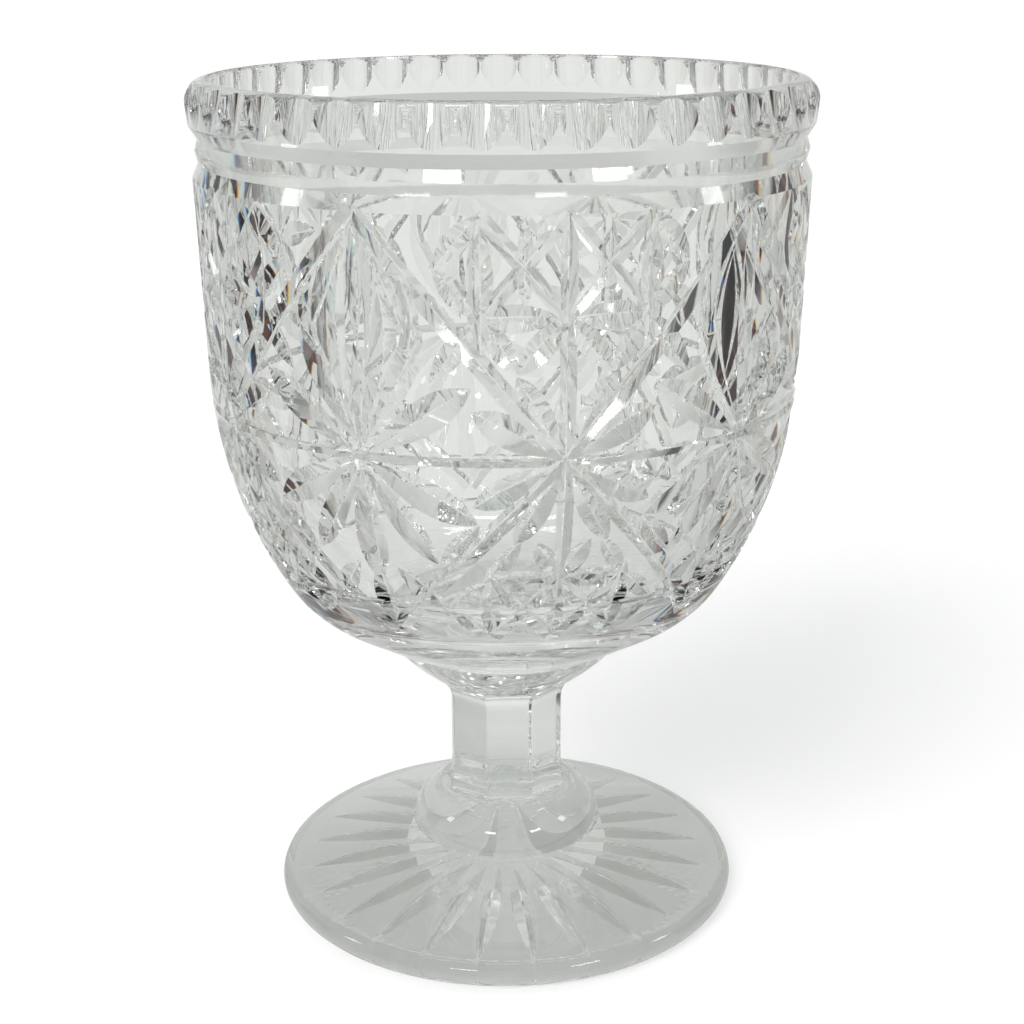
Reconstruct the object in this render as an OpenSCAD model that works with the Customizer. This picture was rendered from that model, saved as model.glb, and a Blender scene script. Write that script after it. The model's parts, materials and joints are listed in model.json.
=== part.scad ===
// Pedestal punch bowl in cut lead crystal: bowl, merese, octagonal stem, collar and ray-cut foot.
// Five pieces of glass, joined hot, face to face. Origin at the centre of the foot's rest ring, +Z up.

/* [Bowl] */
// Overall height, foot to rim
total_h = 320; // [316:1:324]
// Outer radius where the straight wall starts
wall_r = 109.5; // [108:0.5:111]
// Height where the straight wall starts
wall_z = 216; // [212:1:220]
// Outward lean of the straight wall, degrees
wall_lean = 1.8; // [1.4:0.1:2.2]
// Radius of the long curve under the straight wall
shoulder_rad = 165; // [162:1:168]
// Radius of the lower, tighter curve
belly_rad = 40; // [38:1:42]
// Angle at which the two curves meet, degrees
belly_angle = 32; // [31:0.5:33]
// Angle at which the lower curve runs into the bottom cone, degrees
bottom_angle = 61; // [60:0.5:62]
// Wall thickness at the rim and straight wall
wall_t = 8.5; // [8:0.25:9.5]
// Inner radius of curvature at the bottom
inner_belly_rad = 52; // [50:1:54]

/* [Rim] */
// Number of thumb flutes round the rim
flutes = 45; // [40:1:50]
// Radius of each flute's round section
flute_rad = 13; // [12:0.5:14]
// Height where the flutes run out
flute_z = 305.5; // [304:0.5:307]
// Turn of the flutes from the front, degrees
flute_turn = 5; // [0:0.5:8]
// Radius of the rounded rim edge
rim_round = 7.7; // [7:0.1:8]
// Height where the lower of the two ring grooves starts
groove_z = 285.8; // [285:0.2:286.4]
// Depth of the two V shaped ring grooves
groove_depth = 2.4; // [2:0.1:2.6]

/* [Cut pattern] */
// Height of the row of stars
star_z = 206; // [204:1:208]
// Turn of the first large star from the front, degrees
star_turn = -25.2; // [-36:0.2:36]
// Depth of the ring mitre through the stars
ring_d = 2.2; // [1.8:0.1:2.6]
// Half width of a ring mitre over its depth
ring_w = 1.3; // [1.1:0.1:1.5]
// Depth of the petals of the stars
leaf_d = 2.2; // [1.6:0.1:2.6]
// Half width of a petal over its depth
leaf_w = 1.4; // [1.1:0.1:1.6]

/* [Merese] */
// Height of the glued face between merese and stem
stem_top = 90; // [88:0.5:92]
// Height of the face between merese and bowl
bowl_bottom = 106; // [105:0.5:107]
// Radius of the merese's upper face
merese_top_r = 46.2; // [45.5:0.1:47]
// Radius of the merese's lower face
merese_low_r = 28.9; // [28.9:0.1:30]

/* [Stem] */
// Half width of the stem across its flats
stem_flat = 21.3; // [20.5:0.1:22]
// Radius of the flare under the bowl
flare_rad = 12; // [11.5:0.25:13]
// Height of the flare
flare_h = 10; // [9:0.25:10]
// Extra half width at the stem's base
base_flare = 1.1; // [0.6:0.1:1.4]
// Height of the spread at the stem's base
base_h = 8; // [6:1:12]
// Turn of the octagon from the front, degrees
stem_turn = 4; // [0:0.5:10]

/* [Collar] */
// Height of the collar's top face
collar_top = 42; // [41:0.25:42]
// Outer radius of the collar
collar_r = 37.5; // [37:0.1:38]
// Radius of the collar's rounded edge
collar_round = 18; // [17.5:0.1:18]

/* [Foot] */
// Outer radius of the foot
foot_r = 91; // [89:0.5:93]
// Thickness of the foot's edge
foot_edge = 10; // [9:0.5:11]
// Height of the face between foot and collar
foot_top = 25.7; // [25:0.1:26]
// Rays cut into the underside
rays = 24; // [20:2:26]
// Depth of a ray
ray_d = 4; // [3:0.25:4.5]
// Half width of a ray at its deepest
ray_w = 4.3; // [3.5:0.1:4.6]
// Radius where the rays end
ray_out = 77; // [74:0.5:78]
// Radius where the rays start
ray_in = 19; // [18:0.5:22]

/* [Hidden] */
$fn = 180;
glass = [0.86, 0.89, 0.88, 0.55];

// centres of the two outer curves, and the points where they meet and end
c2 = [wall_r - shoulder_rad * cos(wall_lean), wall_z + shoulder_rad * sin(wall_lean)];
jn = c2 + shoulder_rad * [cos(belly_angle), -sin(belly_angle)];
c1 = jn - belly_rad * [cos(belly_angle), -sin(belly_angle)];
bn = c1 + belly_rad * [cos(bottom_angle), -sin(bottom_angle)];
rim_z = total_h - rim_round;
rim_r = wall_r + (rim_z - wall_z) * tan(wall_lean) + 0.6;
inner_angle = 26;

// large and small stars, as many of each round the bowl
repeats = 5;
star_a = 360 / repeats;
// petals, from and to: degrees from the star's axis and height above the row of stars
large_axis = [[0, 13, 0, 76], [0, -8, 0, -46]];
large_sides = [[8, 12.5, 20, 26], [4.5, -5, 20, -21], [3.6, 13, 11.5, 43]];
small_axis = [[0, 13, 0, 44], [0, -8, 0, -40]];
small_sides = [[7, 12.5, 16, 24], [4, -4, 16, -17], [3, 13.5, 8.3, 30]];

// outer radius of the uncut bowl at height z
function r_out(z) =
    z > wall_z ? wall_r + (z - wall_z) * tan(wall_lean)
    : z > jn[1] ? c2[0] + sqrt(pow(shoulder_rad, 2) - pow(z - c2[1], 2))
    : z > bn[1] ? c1[0] + sqrt(pow(belly_rad, 2) - pow(z - c1[1], 2))
    : bn[0] - (bn[1] - z) * tan(bottom_angle);

function unit(v) = v / norm(v);
// point on the bowl's surface; 0 degrees is the front
function on_bowl(a, z) = [r_out(z) * sin(a), -r_out(z) * cos(a), z];

// the part of a round curve between two heights, on this side of the axis; neighbours overlap inside the glass
module band(c, rad, z0, z1) {
    intersection() {
        translate(c) circle(rad);
        translate([0, z0]) square([150, z1 - z0]);
    }
}

// section of a V shaped ring cut, square to the bowl's surface at height z
module ring_cut(z, d) {
    over = 1;
    w = (d + over) * ring_w;
    slope = r_out(z + 0.5) - r_out(z - 0.5);
    translate([r_out(z), z])
        rotate(-atan(slope))
            polygon([[-d, 0], [over, w], [over, -w]]);
}

// outer half section: bottom cone, two curves, straight wall, two V grooves, rounded rim
module bowl_outer() {
    r_g = r_out(groove_z);
    difference() {
        union() {
            polygon([[0, bowl_bottom], [merese_top_r, bowl_bottom], bn, [c1[0], jn[1]], [0, jn[1]]]);
            band(c1, belly_rad, bn[1], c1[1]);
            band(c2, shoulder_rad, jn[1], wall_z);
            polygon([
                [0, wall_z - 6],
                [wall_r - 4, wall_z - 6],
                [wall_r, wall_z],
                [r_g, groove_z],
                [r_g - groove_depth, groove_z + 5.2],
                [r_g - groove_depth / 2, groove_z + 9.6],
                [r_g - groove_depth, groove_z + 13.6],
                [r_out(flute_z), groove_z + 18.5],
                [rim_r, rim_z],
                [0, rim_z]
            ]);
            band([rim_r - rim_round, rim_z], rim_round, rim_z, rim_z + rim_round);
            translate([0, rim_z]) square([rim_r - rim_round, rim_round]);
        }
        // ring mitres through the row of stars, below it, and where the pattern ends
        ring_cut(star_z, ring_d);
        ring_cut(star_z - 57, ring_d / 2);
        ring_cut(star_z - 75, ring_d / 3);
    }
}

module bowl_inner() {
    rs = shoulder_rad - wall_t;
    j = c2 + rs * [cos(inner_angle), -sin(inner_angle)];
    c = j - inner_belly_rad * [cos(inner_angle), -sin(inner_angle)];
    p2 = c2 + rs * [cos(wall_lean), -sin(wall_lean)];
    ri = p2[0] + (total_h - p2[1]) * tan(wall_lean);
    translate([0, c[1] - inner_belly_rad]) square([c[0], inner_belly_rad]);
    band(c, inner_belly_rad, c[1] - inner_belly_rad, c[1]);
    band(c2, rs, j[1], p2[1]);
    // straight wall and the eased inner edge of the rim
    polygon([
        [0, p2[1] - 6],
        p2 - [4, 6],
        p2,
        [ri - 0.05, total_h - 1.6],
        [ri + 1.6, total_h + 0.5],
        [0, total_h + 0.5]
    ]);
}

// one thumb flute, a round cutter leaning outwards so that it runs out at flute_z
module flute() {
    lean = atan(0.26);
    translate([0, -r_out(flute_z), flute_z])
        rotate([-lean, 0, 0])
            translate([0, -flute_rad, -30])
                cylinder(r = flute_rad, h = 60, $fn = 48);
}

// a lens shaped V cut between two points of the bowl's surface, as the edge of a wheel leaves it
module leaf(a0, z0, a1, z1, d) {
    pa = on_bowl(a0, z0);
    pb = on_bowl(a1, z1);
    pm = on_bowl((a0 + a1) / 2, (z0 + z1) / 2);
    u = unit(pb - pa);
    am = (a0 + a1) / 2;
    zm = (z0 + z1) / 2;
    slope = r_out(zm + 0.5) - r_out(zm - 0.5);
    q = [sin(am), -cos(am), -slope];
    v = unit(q - u * (q * u));
    n = cross(u, v);
    half = norm(pb - pa) / 2;
    // how far the surface bulges out of the chord, and how deep the wheel goes below the chord
    bulge = (pm - (pa + pb) / 2) * v;
    low = max(d - bulge, 0.4);
    wheel = (half * half + low * low) / (2 * low);
    sweep = 2 * asin(min(0.95, half / wheel)) + 4;
    top = 2.5 * d;
    centre = (pa + pb) / 2 + v * (wheel - low);
    multmatrix([
        [u[0], v[0], n[0], centre[0]],
        [u[1], v[1], n[1], centre[1]],
        [u[2], v[2], n[2], centre[2]],
        [0, 0, 0, 1]
    ])
        rotate([0, 0, -90 - sweep / 2])
            rotate_extrude(angle = sweep)
                polygon([[wheel - top, -top * leaf_w], [wheel, 0], [wheel - top, top * leaf_w]]);
}

// one star: petals on its axis, and pairs of petals on its two sides
module star(turn, axis, sides) {
    for (p = axis)
        leaf(turn + p[0], star_z + p[1], turn + p[2], star_z + p[3], leaf_d);
    for (p = sides, s = [-1, 1])
        leaf(turn + s * p[0], star_z + p[1], turn + s * p[2], star_z + p[3], leaf_d);
}

module pattern() {
    for (k = [0 : repeats - 1]) {
        star(star_turn + k * star_a, large_axis, large_sides);
        star(star_turn + (k + 0.5) * star_a, small_axis, small_sides);
    }
}

module bowl() {
    color(glass)
        difference() {
            rotate_extrude() difference() {
                bowl_outer();
                bowl_inner();
            }
            for (k = [0 : flutes - 1])
                rotate([0, 0, flute_turn + k * 360 / flutes]) flute();
            pattern();
        }
}

module merese() {
    color(glass)
        rotate_extrude()
            polygon([
                [0, stem_top],
                [merese_low_r, stem_top],
                [38.2, (stem_top + bowl_bottom) / 2 + 2.2],
                [merese_top_r, bowl_bottom],
                [0, bowl_bottom]
            ]);
}

// section across two opposite flats: slight spread at the base, and a run-out under the bowl in short steps
module stem_slab() {
    z_f = stem_top - flare_h;
    steps = 6;
    run_out = asin(flare_h / flare_rad);
    side = concat(
        [[stem_flat + base_flare, collar_top], [stem_flat, collar_top + base_h]],
        [for (i = [0 : steps])
            let (a = run_out * i / steps)
            [stem_flat + flare_rad * (1 - cos(a)), z_f + flare_rad * sin(a)]]
    );
    last = len(side) - 1;
    polygon(concat(side, [for (i = [0 : last]) [-side[last - i][0], side[last - i][1]]]));
}

module stem() {
    color(glass)
        rotate([0, 0, stem_turn])
            intersection_for(k = [0 : 3])
                rotate([0, 0, 45 * k])
                    rotate([90, 0, 0])
                        linear_extrude(80, center = true) stem_slab();
}

module collar() {
    color(glass)
        rotate_extrude()
            intersection() {
                union() {
                    translate([collar_r - collar_round, foot_top - 0.5]) circle(collar_round);
                    translate([0, foot_top]) square([collar_r - collar_round, 30]);
                }
                translate([0, foot_top]) square([60, collar_top - foot_top]);
            }
}

// one ray, the lens shaped V cut of a large wheel; only the wheel's working edge is drawn
module ray() {
    mid = (ray_in + ray_out) / 2;
    half = (ray_out - ray_in) / 2;
    wheel = (half * half + ray_d * ray_d) / (2 * ray_d);
    sweep = 2 * asin(half / wheel) + 3;
    translate([0, -mid, ray_d - wheel])
        rotate([0, 90, 0])
            rotate([0, 0, 180 - sweep / 2])
                rotate_extrude(angle = sweep)
                    polygon([[wheel - 1.5 * ray_d, -1.5 * ray_w], [wheel, 0], [wheel - 1.5 * ray_d, 1.5 * ray_w]]);
}

module foot() {
    e = foot_edge / 2;
    color(glass)
        difference() {
            rotate_extrude() {
                polygon([
                    [0, 0],
                    [foot_r - e, 0],
                    [foot_r - e, foot_edge],
                    [collar_r - 0.2, foot_top],
                    [0, foot_top]
                ]);
                intersection() {
                    translate([foot_r - e, e]) circle(e);
                    translate([foot_r - e, 0]) square([e + 1, foot_edge]);
                }
            }
            for (k = [0 : rays - 1])
                rotate([0, 0, (k + 0.5) * 360 / rays]) ray();
        }
}

bowl();
merese();
stem();
collar();
foot();
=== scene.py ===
"""Pedestal punch bowl in cut lead crystal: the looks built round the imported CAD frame.

Shapes are drawn in millimetres and written to Blender in metres. The object stands on the floor at the
origin, +Z up, and 0 degrees is the front (-Y); degrees grow towards +X.
"""

import json
import math
import random

import bmesh
import bpy
from mathutils import Euler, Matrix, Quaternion, Vector
from mathutils.geometry import tessellate_polygon

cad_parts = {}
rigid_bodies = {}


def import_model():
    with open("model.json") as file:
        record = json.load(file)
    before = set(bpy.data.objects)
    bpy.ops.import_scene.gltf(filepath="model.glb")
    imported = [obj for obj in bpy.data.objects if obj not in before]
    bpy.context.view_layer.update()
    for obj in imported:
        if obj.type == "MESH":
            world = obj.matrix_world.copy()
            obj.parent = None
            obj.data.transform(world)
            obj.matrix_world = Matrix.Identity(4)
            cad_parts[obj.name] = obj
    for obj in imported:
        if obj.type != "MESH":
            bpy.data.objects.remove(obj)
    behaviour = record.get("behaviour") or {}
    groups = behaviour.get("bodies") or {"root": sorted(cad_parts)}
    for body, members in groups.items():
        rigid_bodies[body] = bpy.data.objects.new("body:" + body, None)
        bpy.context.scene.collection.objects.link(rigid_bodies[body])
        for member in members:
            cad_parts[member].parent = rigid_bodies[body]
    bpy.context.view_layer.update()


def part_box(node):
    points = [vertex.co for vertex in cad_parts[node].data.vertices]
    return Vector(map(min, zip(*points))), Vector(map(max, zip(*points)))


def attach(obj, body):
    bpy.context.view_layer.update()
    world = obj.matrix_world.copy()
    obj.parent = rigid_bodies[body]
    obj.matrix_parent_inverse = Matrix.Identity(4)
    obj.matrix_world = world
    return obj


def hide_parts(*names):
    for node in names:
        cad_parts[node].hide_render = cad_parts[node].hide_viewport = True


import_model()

MM = 0.001

# ---------------------------------------------------------------- sizes from the frame, in millimetres


def node_size(node):
    """(lowest z, highest z, largest radius) of a CAD node."""
    low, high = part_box(node)
    return low.z / MM, high.z / MM, high.x / MM


BOWL_BOTTOM, TOTAL_H, _ = node_size("bowl")
MERESE_BOTTOM, MERESE_TOP, MERESE_R = node_size("merese")
COLLAR_BOTTOM, COLLAR_TOP, COLLAR_R = node_size("collar")
FOOT_BOTTOM, FOOT_TOP, FOOT_R = node_size("foot")

# bowl: straight wall over two curves and a short cone, as the CAD has them
WALL_R, WALL_Z, LEAN = 109.5, 216.0, 1.8
SHOULDER_RAD, BELLY_RAD = 165.0, 40.0
BELLY_ANGLE, BOTTOM_ANGLE = 32.0, 61.0
WALL_T, INNER_RAD, INNER_ANGLE = 8.5, 52.0, 26.0
GROOVE_Z, GROOVE_D = 285.8, 2.4
# heights above GROOVE_Z: bottom of the first groove, ridge, bottom of the second groove, foot of the rim
GROOVE_STEPS = (5.2, 9.6, 13.6, 18.5)
FLUTE_Z, FLUTE_RAD, FLUTES, FLUTE_TURN, FLUTE_SLOPE = 305.5, 13.0, 45, 5.0, 0.26
# the flutes' cutters reach this far along their axis, and are this many degrees wide on each side of it
FLUTE_REACH, FLUTE_SPAN = 26.0, 60
RIM_ROUND, RIM_SWELL = 7.7, 0.6
# eased inner edge of the rim: (out from the straight inner wall, down from the top), and its height
INNER_EASE, EASE_H = ((1.6, 0.1), (0.9, 0.35), (0.2, 1.0)), 1.6
STAR_Z, STAR_TURN, STARS = 206.0, -25.2, 5

# stem, collar, foot
STEM_FLAT, STEM_TURN = 21.3, 4.0
FLARE_RAD, FLARE_H, BASE_SPREAD, BASE_H = 12.0, 10.0, 1.1, 8.0
COLLAR_ROUND = 18.0
FOOT_EDGE = 10.0
RAYS, RAY_IN, RAY_OUT, RAY_D, RAY_W = 24, 19.0, 77.0, 4.0, 3.5


def polar(centre, rad, deg):
    """Point on a circle of the half section, deg measured down from the horizontal."""
    a = math.radians(deg)
    return centre[0] + rad * math.cos(a), centre[1] - rad * math.sin(a)


def arc(centre, rad, deg0, deg1, steps):
    """Points from one angle to another, both ends included."""
    return [polar(centre, rad, deg0 + (deg1 - deg0) * i / steps) for i in range(steps + 1)]


SHOULDER_C = polar((WALL_R, WALL_Z), -SHOULDER_RAD, LEAN)
JOIN = polar(SHOULDER_C, SHOULDER_RAD, BELLY_ANGLE)
BELLY_C = polar(JOIN, -BELLY_RAD, BELLY_ANGLE)


def wall(z):
    """Outer radius of the straight wall."""
    return WALL_R + (z - WALL_Z) * math.tan(math.radians(LEAN))


# ---------------------------------------------------------------- mesh helpers


def new_object(name, verts, faces, collection=None):
    """Object from vertices in millimetres; it goes in the scene's own collection if none is given."""
    mesh = bpy.data.meshes.new(name)
    mesh.from_pydata([Vector(v) * MM for v in verts], [], faces)
    mesh.validate()
    obj = bpy.data.objects.new(name, mesh)
    (collection or bpy.context.scene.collection).objects.link(obj)
    return obj


def revolve(name, section, columns):
    """Turns a half section [(radius, z), ...] about the Z axis into a closed mesh."""
    verts, faces, rows = [], [], []
    for r, z in section:
        count = columns if r > 1e-6 else 1
        rows.append(range(len(verts), len(verts) + count))
        for k in range(count):
            a = 2 * math.pi * k / columns
            verts.append((r * math.sin(a), -r * math.cos(a), z))
    for low, high in zip(rows, rows[1:]):
        for k in range(columns):
            nxt = (k + 1) % columns
            if len(low) == 1:
                faces.append((low[0], high[nxt], high[k]))
            elif len(high) == 1:
                faces.append((low[k], low[nxt], high[0]))
            else:
                faces.append((low[k], low[nxt], high[nxt], high[k]))
    return new_object(name, verts, faces)


def close_round(obj, inner, columns, last_row):
    """Closes the open end of a revolved mesh with a flat face that has the polygon inner in its middle."""
    mesh = obj.data
    verts = [v.co / MM for v in mesh.vertices]
    faces = [tuple(f.vertices) for f in mesh.polygons]
    start = len(verts) - columns if last_row else 0
    ring = list(range(start, start + columns))
    z = verts[start].z
    middle = list(range(len(verts), len(verts) + len(inner)))
    verts += [Vector((x, y, z)) for x, y in inner]
    order = ring + middle[::-1]
    for tri in tessellate_polygon([[verts[i] for i in ring], [verts[i] for i in reversed(middle)]]):
        face = [order[i] for i in tri]
        a, b, c = (verts[i] for i in face)
        up = (b - a).cross(c - a).z > 0
        faces.append(tuple(face if up == last_row else face[::-1]))
    faces.append(tuple(middle if last_row else middle[::-1]))
    bpy.data.objects.remove(obj)
    return new_object(mesh.name, verts, faces)


def turn_outwards(mesh):
    """Makes every face of a closed mesh point outwards."""
    work = bmesh.new()
    work.from_mesh(mesh)
    bmesh.ops.recalc_face_normals(work, faces=work.faces)
    work.to_mesh(mesh)
    work.free()


def cut_away(obj, cutters):
    """Takes every mesh in the collection out of obj and bakes the result."""
    for cutter in cutters.objects:
        turn_outwards(cutter.data)
    mod = obj.modifiers.new("cuts", "BOOLEAN")
    mod.operation = "DIFFERENCE"
    mod.operand_type = "COLLECTION"
    mod.collection = cutters
    mod.solver = "MANIFOLD"
    graph = bpy.context.evaluated_depsgraph_get()
    baked = bpy.data.meshes.new_from_object(obj.evaluated_get(graph))
    obj.modifiers.clear()
    obj.data = baked
    for cutter in list(cutters.objects):
        bpy.data.objects.remove(cutter)
    bpy.data.collections.remove(cutters)


def facet_shading(obj, sharp_deg):
    """Smooth on the curves, crisp on every edge that turns by more than sharp_deg."""
    mesh = obj.data
    for poly in mesh.polygons:
        poly.use_smooth = True
    mesh.set_sharp_from_angle(angle=math.radians(sharp_deg))


def cutter_collection(name):
    """New collection, in the scene, for the cutters of one piece."""
    coll = bpy.data.collections.new(name)
    bpy.context.scene.collection.children.link(coll)
    return coll


# ---------------------------------------------------------------- bowl

BOWL_COLUMNS = 225


def bowl_outside():
    """Half section of the outside, from the bottom face up to the edge of the rim."""
    belly_steps, shoulder_steps, step = 8, 30, 3.2
    curve = arc(BELLY_C, BELLY_RAD, BOTTOM_ANGLE, BELLY_ANGLE, belly_steps)
    curve += arc(SHOULDER_C, SHOULDER_RAD, BELLY_ANGLE, LEAN, shoulder_steps)[1:]
    straight = int((GROOVE_Z - WALL_Z) / step)
    curve += [(wall(WALL_Z + step * i), WALL_Z + step * i) for i in range(1, straight + 1)]
    return curve


OUTSIDE = bowl_outside()


def bowl_section():
    """Closed half section of the uncut bowl, outside first."""
    groove_r = wall(GROOVE_Z)
    first, ridge, second, rim_foot = (GROOVE_Z + up for up in GROOVE_STEPS)
    rim_z = TOTAL_H - RIM_ROUND
    rim_r = wall(rim_z) + RIM_SWELL
    section = [(0, BOWL_BOTTOM), (MERESE_R, BOWL_BOTTOM)] + OUTSIDE
    section += [
        (groove_r, GROOVE_Z),
        (groove_r - GROOVE_D, first),
        (groove_r - GROOVE_D / 2, ridge),
        (groove_r - GROOVE_D, second),
    ]
    low_r = wall(FLUTE_Z)
    steps = 4
    for i in range(steps + 1):
        t = i / steps
        section.append((low_r + (rim_r - low_r) * t, rim_foot + (rim_z - rim_foot) * t))
    edge_steps = 10
    section += arc((rim_r - RIM_ROUND, rim_z), RIM_ROUND, 0, -90, edge_steps)[1:]
    # inside: eased edge, straight wall, two curves, flat bottom
    inner_rim = wall(TOTAL_H) - WALL_T
    section += [(inner_rim + out, TOTAL_H - down) for out, down in INNER_EASE]
    inner_shoulder = SHOULDER_RAD - WALL_T
    top_z = TOTAL_H - EASE_H
    wall_steps, shoulder_steps, bottom_steps = 28, 20, 26
    for i in range(wall_steps):
        z = top_z + (SHOULDER_C[1] - top_z) * i / wall_steps
        section.append((wall(z) - WALL_T, z))
    section += arc(SHOULDER_C, inner_shoulder, LEAN, INNER_ANGLE, shoulder_steps)
    inner_c = polar(SHOULDER_C, inner_shoulder - INNER_RAD, INNER_ANGLE)
    section += arc(inner_c, INNER_RAD, INNER_ANGLE, 90, bottom_steps)[1:]
    section.append((0, inner_c[1] - INNER_RAD))
    return section


# the outside, carried on straight past the grooves, and lengths along it, so that a cut can follow it
TRACK = OUTSIDE + [(wall(GROOVE_Z + up), GROOVE_Z + up) for up in (1, 12, 26)]
LENGTHS = [0.0]
for lower, upper in zip(TRACK, TRACK[1:]):
    LENGTHS.append(LENGTHS[-1] + math.dist(lower, upper))


def on_track(z, values):
    """The value at height z, from one value for each point of the track; None above and below it."""
    for i, (lower, upper) in enumerate(zip(TRACK, TRACK[1:])):
        if lower[1] <= z <= upper[1]:
            return values[i] + (values[i + 1] - values[i]) * (z - lower[1]) / (upper[1] - lower[1])
    return None


def length_at(z):
    """Length along the outside at height z."""
    return on_track(z, LENGTHS)


def surface(deg, length):
    """Point and outward normal of the outside, at an angle and a length along the half section."""
    i = max(j for j in range(len(LENGTHS) - 1) if LENGTHS[j] <= length)
    lower, upper = TRACK[i], TRACK[i + 1]
    span = LENGTHS[i + 1] - LENGTHS[i]
    t = (length - LENGTHS[i]) / span
    r = lower[0] + (upper[0] - lower[0]) * t
    z = lower[1] + (upper[1] - lower[1]) * t
    a = math.radians(deg)
    out = Vector((math.sin(a), -math.cos(a), 0))
    up = Vector((0, 0, 1))
    normal = out * ((upper[1] - lower[1]) / span) - up * ((upper[0] - lower[0]) / span)
    return out * r + up * z, normal.normalized()


# width of the flat that the edge of the wheel leaves at the bottom of a cut
WHEEL_EDGE = 0.5
# height of a cutter above the glass
LIFT = 1.0
# height of the ends of a petal's edge above the glass
CLEAR = 0.15


def v_cutter(name, points, normals, depth, slope, collection):
    """Wedge along a path: its edge lies depth(t) under the surface, and slope is half width over depth."""
    verts, faces = [], []
    last = len(points) - 1
    for i, (p, n) in enumerate(zip(points, normals)):
        along = (points[min(last, i + 1)] - points[max(0, i - 1)]).normalized()
        side = along.cross(n).normalized()
        d = depth(i / last)
        edge = WHEEL_EDGE / 2
        half = (d + LIFT) * slope + edge
        verts += [p - n * d + side * edge, p + n * LIFT + side * half]
        verts += [p + n * LIFT - side * half, p - n * d - side * edge]
    for i in range(last):
        o = 4 * i
        for x, y in ((0, 1), (1, 2), (2, 3), (3, 0)):
            faces.append((o + x, o + y, o + 4 + y, o + 4 + x))
    end = 4 * last
    faces += [(3, 2, 1, 0), (end, end + 1, end + 2, end + 3)]
    return new_object(name, verts, faces, collection)


def lens(d):
    """Depth of a petal: deepest in the middle, out of the glass at both ends."""
    return lambda t: d - (d + CLEAR) * (2 * t - 1) ** 2


def petal(d):
    """Depth of a petal whose broadest part lies towards its outer end."""
    lean, fullness = 1.35, 2.2
    return lambda t: d - (d + CLEAR) * abs(2 * t ** lean - 1) ** fullness


def even(d):
    """The same depth from end to end."""
    return lambda t: d


def wheel_cut(name, start, end, depth, slope, collection, bow):
    """A cut on the bowl between two points (degrees, height), bowed sideways by bow degrees."""
    step = 3.6
    s0, s1 = length_at(start[1]), length_at(end[1])
    across = math.radians(end[0] - start[0]) * WALL_R
    count = max(6, round(math.hypot(across, s1 - s0) / step))
    points, normals = [], []
    for i in range(count + 1):
        t = i / count
        deg = start[0] + (end[0] - start[0]) * t + bow * math.sin(math.pi * t)
        p, n = surface(deg, s0 + (s1 - s0) * t)
        points.append(p)
        normals.append(n)
    return v_cutter(name, points, normals, depth, slope, collection)


# Each cut: (degrees from the star's axis, height) at both ends, depth profile, depth, slope (half width over
# depth) and bow in degrees. A cut off the axis is made on both sides of it.
TOP_Z = GROOVE_Z + 0.4
LARGE_STAR = [
    ((0, TOP_Z), (36, STAR_Z), even, 2.4, 1.3, 0),
    ((0, 137), (36, STAR_Z), even, 2.2, 1.4, 0),
    ((0.8, STAR_Z + 1), (20, 231), petal, 3.0, 1.9, 0),
    ((0.8, STAR_Z - 1), (21, 184), petal, 2.9, 2.0, 0),
    ((0.3, STAR_Z + 3), (11.7, 249.5), petal, 2.7, 1.9, 0),
    ((0.3, STAR_Z - 3), (13, 168), petal, 2.6, 1.9, 0),
    ((0, TOP_Z - 2), (9.5, 245), lens, 2.2, 1.7, 0),
    ((0.3, STAR_Z + 4), (0.3, 284), lens, 2.9, 1.9, 4.4),
    ((0.4, STAR_Z + 12), (0.4, TOP_Z), lens, 1.8, 1.5, 9.6),
    ((0, 244), (0, 284), lens, 1.8, 1.4, 0),
    ((0, STAR_Z + 2), (0, 248), lens, 1.8, 1.4, 0),
    ((0, STAR_Z - 2), (0, 158), petal, 3.0, 2.0, 0),
    ((0, 166), (0, 138), lens, 2.2, 1.9, 0),
    ((4, 166), (14, 146), lens, 2.2, 1.9, 0),
    ((21, 184), (13, 168), lens, 1.8, 1.7, 0),
]
SMALL_STAR = [
    ((0, TOP_Z), (0, 136), even, 2.0, 1.3, 0),
    ((0.8, STAR_Z + 1), (16, 223), petal, 2.8, 1.9, 0),
    ((0.8, STAR_Z - 1), (16, 190), petal, 2.8, 1.9, 0),
    ((0.4, STAR_Z + 2), (8.3, 235), petal, 2.6, 1.8, 0),
    ((0.4, STAR_Z - 2), (9, 176), petal, 2.6, 1.8, 0),
    ((0, 253.5), (8.3, 235), lens, 2.4, 1.8, 0),
    ((0, 253.5), (14.4, 253.5), petal, 2.4, 1.9, 0),
    ((14.4, 253.5), (8.3, 235), lens, 2.2, 1.8, 0),
    ((14.4, 253.5), (23, 232), lens, 2.2, 1.8, 0),
    ((0, 253.5), (14.4, TOP_Z), even, 1.7, 1.4, 0),
    ((0, TOP_Z), (14.4, 253.5), even, 1.7, 1.4, 0),
    ((14.4, 253.5), (22, 269), lens, 2.2, 1.8, 0),
    ((22, 269), (14.4, TOP_Z), lens, 2.2, 1.8, 0),
    ((14.4, TOP_Z), (14.4, 238), lens, 2.5, 1.7, 0),
    ((7.2, TOP_Z), (7.2, 255), lens, 1.6, 1.6, 0),
    ((0, 162), (13.5, 162), lens, 2.3, 1.8, 0),
    ((0, 162), (13.5, 137), even, 1.6, 1.5, 0),
    ((0, 137), (13.5, 162), even, 1.6, 1.5, 0),
    ((13.5, 162), (22, 149), lens, 1.9, 1.8, 0),
    ((22, 149), (13.5, 137), lens, 1.6, 1.8, 0),
    ((13.5, 168), (13.5, 136), lens, 2.1, 1.7, 0),
    ((0, 162), (5.5, 178), lens, 2.1, 1.8, 0),
    ((13.5, 162), (7.5, 178), lens, 1.8, 1.8, 0),
]
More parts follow.
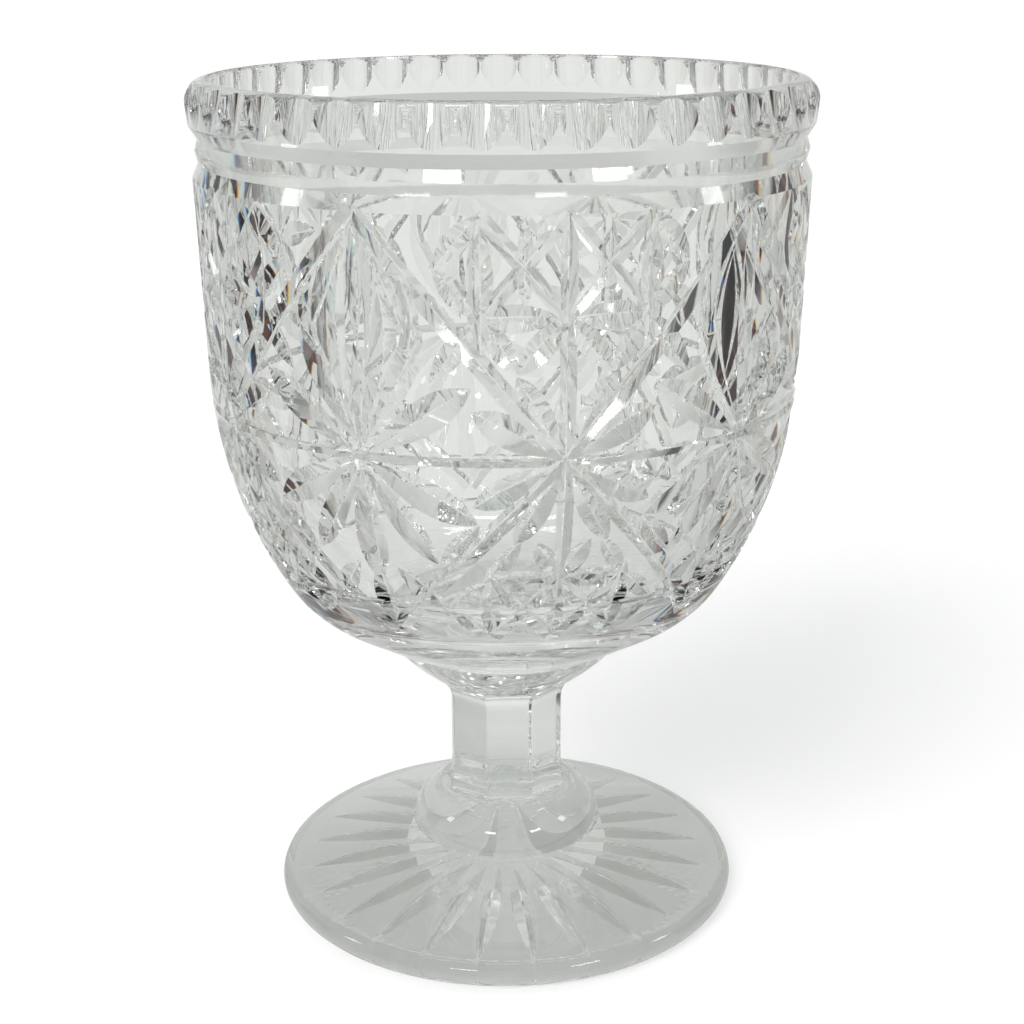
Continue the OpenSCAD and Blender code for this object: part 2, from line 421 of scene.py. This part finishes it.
# rings: height, depth, slope
RING_CUTS = ((STAR_Z, 1.4, 1.15), (STAR_Z - 57, 1.1, 1.3), (STAR_Z - 75, 0.8, 1.5))


def star_cuts(cutters):
    """Both kinds of star, with the small unevenness of a pattern cut by eye."""
    hand = random.Random(11)
    aim, shallowest, deepest = 0.22, 0.93, 1.05
    number = 0
    for turn in range(STARS):
        for axis, cuts in ((0, LARGE_STAR), (0.5, SMALL_STAR)):
            centre = STAR_TURN + (turn + axis) * 360 / STARS
            for start, end, profile, depth, slope, bow in cuts:
                for side in (1, -1) if (start[0] or end[0] or bow) else (1,):
                    shift = hand.uniform(-aim, aim)
                    deep = depth * hand.uniform(shallowest, deepest)
                    wheel_cut(
                        f"cut_{number:03d}",
                        (centre + side * start[0] + shift, start[1]),
                        (centre + side * end[0] + shift, end[1]),
                        profile(deep), slope, cutters, side * bow,
                    )
                    number += 1


def ring_cut(z, depth, slope, cutters):
    """Closed V cut all the way round the bowl."""
    s = length_at(z)
    half = (depth + LIFT) * slope
    verts, faces = [], []
    for k in range(BOWL_COLUMNS):
        deg = 360 * k / BOWL_COLUMNS
        p, n = surface(deg, s)
        a = math.radians(deg)
        side = Vector((math.cos(a), math.sin(a), 0)).cross(n)
        verts += [p - n * depth, p + n * LIFT + side * half, p + n * LIFT - side * half]
    total = len(verts)
    for k in range(BOWL_COLUMNS):
        o = 3 * k
        for x, y in ((0, 1), (1, 2), (2, 0)):
            faces.append((o + x, o + y, (o + 3 + y) % total, (o + 3 + x) % total))
    new_object(f"ring_{z:.0f}", verts, faces, cutters)


def flute_cuts(cutters):
    """Round cutters, leaning in over the bowl, that leave the scalloped rim."""
    segments = 20
    lean = math.atan(FLUTE_SLOPE)
    out, up = Vector((0, -1, 0)), Vector((0, 0, 1))
    along = up * math.cos(lean) - out * math.sin(lean)
    away = out * math.cos(lean) + up * math.sin(lean)
    base = out * wall(FLUTE_Z) + up * FLUTE_Z
    for k in range(FLUTES):
        spin = Quaternion(up, math.radians(FLUTE_TURN + 360 * k / FLUTES))
        verts, faces = [], []
        for end in (-FLUTE_REACH, FLUTE_REACH):
            for i in range(segments):
                a = math.radians(-FLUTE_SPAN + 2 * FLUTE_SPAN * i / (segments - 1))
                p = base + along * end + away * (FLUTE_RAD * (1 - math.cos(a)))
                verts.append(spin @ (p + Vector((1, 0, 0)) * (FLUTE_RAD * math.sin(a))))
        for i in range(segments):
            nxt = (i + 1) % segments
            faces.append((i, nxt, segments + nxt, segments + i))
        faces += [tuple(reversed(range(segments))), tuple(range(segments, 2 * segments))]
        new_object(f"flute_{k:02d}", verts, faces, cutters)


def make_bowl():
    bowl = revolve("bowl_cut_crystal", bowl_section(), BOWL_COLUMNS)
    cutters = cutter_collection("bowl_cuts")
    flute_cuts(cutters)
    for z, depth, slope in RING_CUTS:
        ring_cut(z, depth, slope, cutters)
    star_cuts(cutters)
    cut_away(bowl, cutters)
    facet_shading(bowl, 16)
    return bowl


# ---------------------------------------------------------------- merese, stem, collar, foot


def octagon(half_width, turn):
    """Corners of an octagon, from its half width across the flats; turn is in degrees from the front."""
    corner = half_width / math.cos(math.pi / 8)
    angles = [math.radians(turn + 22.5 + 45 * k) for k in range(8)]
    return [(corner * math.sin(a), -corner * math.cos(a)) for a in angles]


FLARE_START = MERESE_BOTTOM - FLARE_H


def stem_half_width(z):
    """Half width of the stem across its flats at height z."""
    fall_off = 1.6
    if z < COLLAR_TOP + BASE_H:
        return STEM_FLAT + BASE_SPREAD * (1 - (z - COLLAR_TOP) / BASE_H) ** fall_off
    if z > FLARE_START:
        return STEM_FLAT + FLARE_RAD - math.sqrt(FLARE_RAD ** 2 - (z - FLARE_START) ** 2)
    return STEM_FLAT


def stem_outline(z):
    """Octagon at height z with its corners eased into a small curve."""
    ease, steps = 0.015, 4
    corners = octagon(stem_half_width(z), STEM_TURN)
    outline = []
    for k in range(8):
        here, before, after = corners[k], corners[k - 1], corners[(k + 1) % 8]
        for i in range(steps + 1):
            t = i / steps
            first, last = ease * (1 - t) ** 2, ease * t ** 2
            axes = zip(here, before, after)
            outline.append(tuple(h + (b - h) * first + (a - h) * last for h, b, a in axes))
    return outline


def make_stem():
    """Eight flats, spread at the base and flared under the bowl."""
    straight = FLARE_START - COLLAR_TOP - BASE_H
    base_steps, straight_steps, flare_steps = 8, 6, 12
    heights = [COLLAR_TOP + BASE_H * i / base_steps for i in range(base_steps + 1)]
    heights += [COLLAR_TOP + BASE_H + straight * i / straight_steps for i in range(1, straight_steps + 1)]
    heights += [FLARE_START + FLARE_H * i / flare_steps for i in range(1, flare_steps + 1)]
    verts = [(x, y, z) for z in heights for x, y in stem_outline(z)]
    ring = len(verts) // len(heights)
    faces = [tuple(reversed(range(ring))), tuple(range(len(verts) - ring, len(verts)))]
    for o in range(0, len(verts) - ring, ring):
        for k in range(ring):
            nxt = (k + 1) % ring
            faces.append((o + k, o + nxt, o + ring + nxt, o + ring + k))
    stem = new_object("stem_octagonal", verts, faces)
    facet_shading(stem, 14)
    return stem


def make_merese():
    """Flared disc between the stem and the bowl."""
    past_corners = 0.03
    low_r = math.hypot(*octagon(stem_half_width(MERESE_BOTTOM), 0)[0]) + past_corners
    steps, belly = 10, 1.2
    section = []
    for i in range(steps + 1):
        t = i / steps
        section.append((
            low_r + (MERESE_R - low_r) * t + belly * math.sin(math.pi * t),
            MERESE_BOTTOM + (MERESE_TOP - MERESE_BOTTOM) * t,
        ))
    merese = revolve("merese_disc", section + [(0, MERESE_TOP)], BOWL_COLUMNS)
    merese = close_round(merese, stem_outline(MERESE_BOTTOM), BOWL_COLUMNS, False)
    facet_shading(merese, 24)
    return merese


# centre of the collar's rounded side, just under the face that meets the foot
COLLAR_C = (COLLAR_R - COLLAR_ROUND, COLLAR_BOTTOM - 0.5)
FOOT_COLUMNS = 192


def collar_radius(z):
    """Radius of the collar's rounded side at height z."""
    return COLLAR_C[0] + math.sqrt(COLLAR_ROUND ** 2 - (z - COLLAR_C[1]) ** 2)


def make_collar():
    """Domed disc between the foot and the stem."""
    ends = COLLAR_BOTTOM, COLLAR_TOP
    low, top = (-math.degrees(math.asin((z - COLLAR_C[1]) / COLLAR_ROUND)) for z in ends)
    side_steps = 24
    section = [(0, COLLAR_BOTTOM)] + arc(COLLAR_C, COLLAR_ROUND, low, top, side_steps)
    collar = revolve("collar_domed", section, FOOT_COLUMNS)
    collar = close_round(collar, stem_outline(COLLAR_TOP), FOOT_COLUMNS, True)
    facet_shading(collar, 24)
    return collar


def make_foot():
    """Domed disc with a rounded edge, and a star of long rays cut into its underside."""
    edge, edge_steps, slope_steps = FOOT_EDGE / 2, 20, 12
    section = [(0, FOOT_BOTTOM), (30, FOOT_BOTTOM), (60, FOOT_BOTTOM)]
    section += arc((FOOT_R - edge, edge), edge, 90, -90, edge_steps)
    (edge_r, edge_z), joint_r = section[-1], collar_radius(COLLAR_BOTTOM)
    for i in range(1, slope_steps + 1):
        t = i / slope_steps
        section.append((edge_r + (joint_r - edge_r) * t, edge_z + (FOOT_TOP - edge_z) * t))
    section.append((0, FOOT_TOP))
    foot = revolve("foot_ray_cut", section, FOOT_COLUMNS)
    cutters = cutter_collection("foot_cuts")
    steps = 20
    below = [Vector((0, 0, -1))] * (steps + 1)
    for k in range(RAYS):
        a = math.radians((k + 0.5) * 360 / RAYS)
        out = Vector((math.sin(a), -math.cos(a), 0))
        points = [out * (RAY_IN + (RAY_OUT - RAY_IN) * i / steps) for i in range(steps + 1)]
        v_cutter(f"ray_{k:02d}", points, below, lens(RAY_D), RAY_W / RAY_D, cutters)
    cut_away(foot, cutters)
    facet_shading(foot, 16)
    return foot


# ---------------------------------------------------------------- materials


class Nodes:
    """Small helper for building the node tree of a material or a world."""

    def __init__(self, owner):
        self.owner = owner
        owner.use_nodes = True
        self.tree = owner.node_tree
        self.tree.nodes.clear()

    def add(self, kind, **values):
        node = self.tree.nodes.new(kind)
        for key, value in values.items():
            setattr(node, key, value)
        return node

    def link(self, value, socket):
        """Joins an output to a socket, or sets the socket to a constant."""
        if isinstance(value, (int, float, tuple)):
            socket.default_value = value
        else:
            self.tree.links.new(value, socket)

    def math(self, operation, first, second=0.0):
        node = self.add("ShaderNodeMath", operation=operation)
        self.link(first, node.inputs[0])
        self.link(second, node.inputs[1])
        return node.outputs[0]

    def noise(self, scale, detail, coords=None):
        """Noise from 0 to 1, on the object's own coordinates unless others are given."""
        node = self.add("ShaderNodeTexNoise")
        self.link(scale, node.inputs["Scale"])
        self.link(detail, node.inputs["Detail"])
        self.link(coords or self.coords(), node.inputs["Vector"])
        return node.outputs["Fac"]

    def coords(self, scale=(1, 1, 1)):
        """The object's own coordinates, in metres, times scale."""
        place = self.add("ShaderNodeTexCoord")
        mapping = self.add("ShaderNodeMapping")
        self.link(scale, mapping.inputs["Scale"])
        self.link(place.outputs["Object"], mapping.inputs["Vector"])
        return mapping.outputs["Vector"]

    def split(self, vector):
        node = self.add("ShaderNodeSeparateXYZ")
        self.link(vector, node.inputs[0])
        return node.outputs

    def colour(self, red, green, blue):
        node = self.add("ShaderNodeCombineColor")
        for value, socket in zip((red, green, blue), node.inputs):
            self.link(value, socket)
        return node.outputs[0]

    def ramp(self, value, low, high, to_low, to_high):
        """Eases from to_low to to_high while value goes from low to high."""
        node = self.add("ShaderNodeMapRange", interpolation_type="SMOOTHSTEP")
        ends = ("From Min", low), ("From Max", high), ("To Min", to_low), ("To Max", to_high)
        for key, number in ends:
            self.link(number, node.inputs[key])
        self.link(value, node.inputs["Value"])
        return node.outputs["Result"]

    def blend(self, factor, first, second):
        """Colour from first to second while factor goes from 0 to 1."""
        node = self.add("ShaderNodeMix", data_type="RGBA")
        colours = [socket for socket in node.inputs if socket.type == "RGBA"]
        self.link(first, colours[0])
        self.link(second, colours[1])
        self.link(factor, node.inputs["Factor"])
        return next(socket for socket in node.outputs if socket.type == "RGBA")

    def times(self, colour, factor):
        node = self.add("ShaderNodeVectorMath", operation="SCALE")
        self.link(colour, node.inputs[0])
        self.link(factor, node.inputs["Scale"])
        return node.outputs[0]


# refraction of lead crystal, and the tint of the shadow under it
CRYSTAL_IOR = 1.545
SHADOW_TINT = (0.82, 0.825, 0.825, 1)
# depth of the surface's fine relief, in metres
RELIEF = 0.0004


def crystal(name, tint_a, tint_b, rough, bump, grain, clear=1.0):
    """Lead crystal with faint striae between two tints; noise at the given grain sets roughness and relief.

    clear is the share of light that goes through; the rest is scattered at the surface.
    """
    n = Nodes(bpy.data.materials.new(name))
    shader = n.add("ShaderNodeBsdfPrincipled")
    shader.inputs["Transmission Weight"].default_value = clear
    shader.inputs["IOR"].default_value = CRYSTAL_IOR
    striae = n.noise(38.0, 1.0, n.coords((1, 1, 3)))
    n.link(n.blend(striae, tint_a, tint_b), shader.inputs["Base Color"])
    fine = n.noise(grain, 0.0)
    n.link(n.ramp(fine, 0.25, 0.75, rough[0], rough[1]), shader.inputs["Roughness"])
    relief = n.add("ShaderNodeBump")
    relief.inputs["Strength"].default_value = bump
    relief.inputs["Distance"].default_value = RELIEF
    n.link(n.noise(grain * 0.25, 0.0), relief.inputs["Height"])
    n.link(relief.outputs["Normal"], shader.inputs["Normal"])
    # light passes to the floor behind the glass with little loss
    through = n.add("ShaderNodeBsdfTransparent")
    through.inputs["Color"].default_value = SHADOW_TINT
    path = n.add("ShaderNodeLightPath")
    mix = n.add("ShaderNodeMixShader")
    out = n.add("ShaderNodeOutputMaterial")
    n.link(path.outputs["Is Shadow Ray"], mix.inputs["Fac"])
    n.link(shader.outputs["BSDF"], mix.inputs[1])
    n.link(through.outputs["BSDF"], mix.inputs[2])
    n.link(mix.outputs["Shader"], out.inputs["Surface"])
    return n.owner


def fused_joint():
    """The faces where two pieces of hot glass were joined: nothing shows there."""
    n = Nodes(bpy.data.materials.new("fused_joint"))
    through = n.add("ShaderNodeBsdfTransparent")
    out = n.add("ShaderNodeOutputMaterial")
    cloud = n.noise(60.0, 3.0)
    n.link(n.blend(cloud, (0.985, 0.99, 0.988, 1), (1, 1, 1, 1)), through.inputs["Color"])
    n.link(through.outputs["BSDF"], out.inputs["Surface"])
    return n.owner


# The room as the glass sees it, by degrees of turn from the back (+Y), positive towards +X: bright paper
# behind, slightly greyer sides, and a dark screen on each side. Tones are shares of white.
PAPER_TONE, SIDE_TONE = 0.70, 0.55
# the paper's tone eases into the sides' between these two turns
PAPER_EDGE, SIDE_START = 10, 46
# in degrees: middle and half width of each screen, its soft edge, and how far red and blue part there
SCREENS = ((-75, 11), (78, 13))
SCREEN_EDGE, COLOUR_SPREAD = 1.5, 0.7
# least and most light that red, green and blue keep on the screens: nearly black, with brown patches
SCREEN_TONES = ((0.03, 0.2), (0.03, 0.1), (0.035, 0.08))
# the patches: scale of their noise, and the levels of it at which a patch starts and is full
PATCH_SCALE, PATCH_EDGE = 7.0, (0.54, 0.58)
GLASS_TINT = (0.985, 1.0, 0.972)
# light from the paper near the object, far off on the floor, and high up
SWEEP_NEAR, SWEEP_FAR, SWEEP_TOP = 1.03, 1.06, 0.92


def room_tones(n, x, y, strength):
    """Colour of the room in the direction (x, y); strength 0 to 1 is how dark the screens are."""
    turn = n.math("MULTIPLY", n.math("ARCTAN2", x, y), 180 / math.pi)
    patches = n.noise(PATCH_SCALE, 0.0, n.coords())
    channels = []
    shifts = -COLOUR_SPREAD, 0, COLOUR_SPREAD
    for shift, (least, most), tint in zip(shifts, SCREEN_TONES, GLASS_TINT):
        screen = n.ramp(patches, *PATCH_EDGE, least, most)
        screen = n.math("SUBTRACT", 1.0, n.math("MULTIPLY", strength, n.math("SUBTRACT", 1.0, screen)))
        here = n.math("ADD", turn, shift)
        aside = n.math("ABSOLUTE", here)
        tone = n.ramp(aside, PAPER_EDGE, SIDE_START, PAPER_TONE * tint, SIDE_TONE * tint)
        for middle, half in SCREENS:
            off = n.math("ABSOLUTE", n.math("SUBTRACT", here, middle))
            tone = n.math("MULTIPLY", tone, n.ramp(off, half, half + SCREEN_EDGE, screen, 1.0))
        channels.append(tone)
    return n.colour(*channels)


# The floor as the glass sees it, in metres. Close to the object it is an even grey. Between the object and
# the camera it has a dark strip with soft edges.
NEAR_TONE, NEAR_START, NEAR_END = 0.6, 0.1, 0.16
FRONT_TONE, FRONT_START, FRONT_END = 0.14, (0.12, 0.14), (0.28, 0.32)
# the screens fade out on the floor towards the object, and the sweep brightens away from it
SCREENS_FROM, SCREENS_FULL, SCREENS_LEAST = 0.3, 0.6, 0.25
SWEEP_START, SWEEP_END = 0.1, 0.8


def floor_paper():
    """White paper for the camera; the glass sees the tones of the room in it."""
    n = Nodes(bpy.data.materials.new("studio_paper"))
    path = n.add("ShaderNodeLightPath")
    out = n.add("ShaderNodeOutputMaterial")
    shader = n.add("ShaderNodeBsdfDiffuse")
    x, y, _ = n.split(n.coords())
    away = n.math("SQRT", n.math("ADD", n.math("MULTIPLY", x, x), n.math("MULTIPLY", y, y)))
    under = tuple(NEAR_TONE * tint for tint in GLASS_TINT) + (1,)
    room = room_tones(n, x, y, n.ramp(away, SCREENS_FROM, SCREENS_FULL, SCREENS_LEAST, 1.0))
    starts = n.ramp(y, -FRONT_START[1], -FRONT_START[0], FRONT_TONE, 1.0)
    ends = n.ramp(y, -FRONT_END[1], -FRONT_END[0], 1.0, FRONT_TONE)
    room = n.times(room, n.math("MAXIMUM", starts, ends))
    room = n.times(room, n.ramp(away, SWEEP_START, SWEEP_END, SWEEP_NEAR, SWEEP_FAR))
    near = n.blend(n.ramp(away, NEAR_START, NEAR_END, 0.0, 1.0), under, room)
    seen = n.blend(n.noise(3.0, 1.0), (0.95, 0.95, 0.95, 1), (0.97, 0.97, 0.97, 1))
    n.link(n.blend(path.outputs["Is Camera Ray"], near, seen), shader.inputs["Color"])
    n.link(shader.outputs["BSDF"], out.inputs["Surface"])
    return n.owner


# name, two tints, least and most roughness, relief, grain
POLISHED = crystal(
    "crystal_polished", (0.985, 0.99, 0.988, 1), (0.995, 0.998, 0.997, 1), (0.0, 0.012), 0.02, 260.0)
CUT = crystal("crystal_cut", (0.915, 0.93, 0.915, 1), (0.945, 0.957, 0.943, 1), (0.03, 0.07), 0.03, 900.0)
# the rays' tints are much darker than the other cuts': painted shade in the grooves of the foot's rays
RAY_PAINTED_SHADE = crystal("crystal_rays_painted_shade", (0.66, 0.68, 0.65, 1), (0.78, 0.79, 0.76, 1), (0.03, 0.16), 0.03, 900.0)
GROUND = crystal(
    "crystal_ground_rest", (0.94, 0.955, 0.93, 1), (0.97, 0.98, 0.96, 1), (0.42, 0.58), 0.05, 1500.0, 0.78)
JOINT = fused_joint()


def assign(obj, chooser, materials):
    """Gives each face the material that chooser(centre, normal) returns the number of."""
    obj.data.materials.clear()
    for material in materials:
        obj.data.materials.append(material)
    for poly in obj.data.polygons:
        poly.material_index = chooser(poly.center / MM, poly.normal)


TRACK_RADII = [r for r, _ in TRACK]
# a face this close to a level lies on it
FLAT = 0.01
# a face of a cut lies between these depths under the uncut outside, and doesn't look in by more than this
CUT_DEEPEST, CUT_LEAST, CUT_INWARD = 5, 0.12, -0.2


def bowl_face(centre, normal):
    """Number in [polished, cut, joint]."""
    r = math.hypot(centre.x, centre.y)
    if centre.z < BOWL_BOTTOM + FLAT:
        return 2
    uncut = on_track(centre.z, TRACK_RADII)
    if uncut is None or centre.x * normal.x + centre.y * normal.y <= CUT_INWARD * r:
        return 0
    return 1 if uncut - CUT_DEEPEST < r < uncut - CUT_LEAST else 0


def joint_at(stem_level, disc_level):
    """Chooser of [polished, joint] for the ends of a piece: where the stem touches, and a whole flat disc."""
    def choose(centre, normal):
        if abs(centre.z - disc_level) < FLAT:
            return 1
        in_stem = math.hypot(centre.x, centre.y) < STEM_FLAT
        return 1 if in_stem and abs(centre.z - stem_level) < FLAT else 0
    return choose


def foot_face(centre, normal):
    """Number in [polished, ray (tinted darker: painted shade), joint, ground]: the rays under the collar are
    ground like the rest face.
    """
    if centre.z > FOOT_TOP - FLAT:
        return 2
    if centre.z < FLAT:
        return 3
    r = math.hypot(centre.x, centre.y)
    if centre.z < RAY_D + 2 and r < RAY_OUT + 1:
        return 1 if r > COLLAR_R else 3
    return 0


# ---------------------------------------------------------------- pieces on the frame


def place(obj, node):
    """The piece stands for one CAD node, on the part's only body."""
    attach(obj, "root")
    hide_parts(node)


bowl = make_bowl()
assign(bowl, bowl_face, [POLISHED, CUT, JOINT])
merese = make_merese()
assign(merese, joint_at(MERESE_BOTTOM, MERESE_TOP), [POLISHED, JOINT])
stem = make_stem()
assign(stem, joint_at(COLLAR_TOP, MERESE_BOTTOM), [POLISHED, JOINT])
collar = make_collar()
assign(collar, joint_at(COLLAR_TOP, COLLAR_BOTTOM), [POLISHED, JOINT])
foot = make_foot()
assign(foot, foot_face, [POLISHED, RAY_PAINTED_SHADE, JOINT, GROUND])
PIECES = {"bowl": bowl, "merese": merese, "stem": stem, "collar": collar, "foot": foot}
for node, piece in PIECES.items():
    place(piece, node)

# ---------------------------------------------------------------- floor, light, camera

# rings of the floor in millimetres, and the gap that keeps its plane off the foot's rest face
FLOOR_RINGS, FLOOR_Z = (0, 200, 600, 2000, 30000), -0.3
floor = revolve("floor", [(r, FLOOR_Z) for r in FLOOR_RINGS], 64)
floor.data.materials.append(floor_paper())


LIGHT_TARGET = (0, 0, 0.2)


def softbox(name, position, size, power):
    """Area light that only the glass shows."""
    data = bpy.data.lights.new(name, "AREA")
    data.shape = "RECTANGLE"
    data.size, data.size_y = size
    data.energy = power
    light = bpy.data.objects.new(name, data)
    bpy.context.scene.collection.objects.link(light)
    light.location = position
    light.rotation_euler = (Vector(LIGHT_TARGET) - Vector(position)).to_track_quat("-Z", "Y").to_euler()
    light.visible_diffuse = False
    light.visible_camera = False


# windows in front and at the sides: degrees from the front, degrees up, width and height in metres, power
WINDOWS = (
    (-21, 34, 0.32, 0.14, 1.9),
    (40, 34, 0.36, 0.14, 2.2),
    (-84, 32, 0.2, 0.3, 1.3),
    (84, 32, 0.2, 0.3, 1.3),
)
WINDOW_DISTANCE = 1.6
for number, (turn, rise, width, tall, power) in enumerate(WINDOWS):
    turn, rise = math.radians(turn), math.radians(rise)
    direction = Vector((math.sin(turn) * math.cos(rise), -math.cos(turn) * math.cos(rise), math.sin(rise)))
    softbox(f"window_{number}", direction * WINDOW_DISTANCE, (width, tall), power)
softbox("top_strip", (0, 0.3, 1.5), (0.8, 0.1), 1.6)

# the sun lights the paper and casts the soft shadow
sun_data = bpy.data.lights.new("sun", "SUN")
sun_data.energy = 2.6
sun_data.angle = math.radians(32)
sun = bpy.data.objects.new("sun", sun_data)
bpy.context.scene.collection.objects.link(sun)
sun.rotation_euler = Vector((0.46, 0.67, -0.62)).to_track_quat("-Z", "Y").to_euler()
sun.visible_glossy = False
sun.visible_transmission = False


# heights (the z of a direction) between which the screens end, and up to which the sweep darkens
SCREEN_TOP, SWEEP_RISE = (0.38, 0.46), 0.35
# unevenness of the room, and the tone of its dark places on the camera's side
UNEVEN, DARK_PLACE = (0.88, 1.12), 0.04
# light that the world gives to the floor, as a share of white
FILL = 0.62


def studio_world():
    """White for the camera and the floor; the glass sees the room."""
    n = Nodes(bpy.data.worlds.new("studio"))
    bpy.context.scene.world = n.owner
    n.owner.cycles.sampling_method = "NONE"
    direction = n.add("ShaderNodeTexCoord").outputs["Generated"]
    x, y, z = n.split(direction)
    room = room_tones(n, x, y, n.ramp(z, *SCREEN_TOP, 1.0, 0.0))
    room = n.times(room, n.ramp(z, 0.0, SWEEP_RISE, SWEEP_FAR, SWEEP_TOP))
    blobs = n.noise(3.0, 1.0, direction)
    room = n.times(room, n.ramp(blobs, 0.35, 0.65, *UNEVEN))
    dark = n.ramp(blobs, 0.36, 0.38, DARK_PLACE, 1.0)
    behind = n.ramp(y, -0.1, 0.1, 0.0, 1.0)
    room = n.times(room, n.math("MAXIMUM", dark, behind))
    path = n.add("ShaderNodeLightPath")
    in_glass = n.math("MAXIMUM", path.outputs["Is Glossy Ray"], path.outputs["Is Transmission Ray"])
    paper = n.times((1.0, 1.0, 1.0), n.math("MAXIMUM", path.outputs["Is Camera Ray"], FILL))
    background = n.add("ShaderNodeBackground")
    n.link(n.blend(in_glass, paper, room), background.inputs["Color"])
    out = n.add("ShaderNodeOutputWorld")
    n.link(background.outputs[0], out.inputs["Surface"])


studio_world()

# camera: place in metres, degrees down, degrees of roll, and lens in millimetres
CAMERA_AT = (0.00288, -0.66905, 0.36994)
CAMERA_DOWN, CAMERA_ROLL, CAMERA_LENS = 17.838, -0.249, 63.9
camera_data = bpy.data.cameras.new("camera")
camera_data.lens = CAMERA_LENS
camera_data.sensor_width = 36.0
camera_data.clip_end = 100.0
camera = bpy.data.objects.new("camera", camera_data)
bpy.context.scene.collection.objects.link(camera)
camera.location = CAMERA_AT
aim = Euler((math.radians(90 - CAMERA_DOWN), 0, 0)).to_quaternion()
camera.rotation_mode = "QUATERNION"
camera.rotation_quaternion = aim @ Quaternion((0, 0, 1), math.radians(CAMERA_ROLL))
bpy.context.scene.camera = camera

scene = bpy.context.scene
scene.view_settings.view_transform = "Standard"
scene.cycles.max_bounces = 16
scene.cycles.transmission_bounces = 16
scene.cycles.glossy_bounces = 12
scene.cycles.transparent_max_bounces = 24
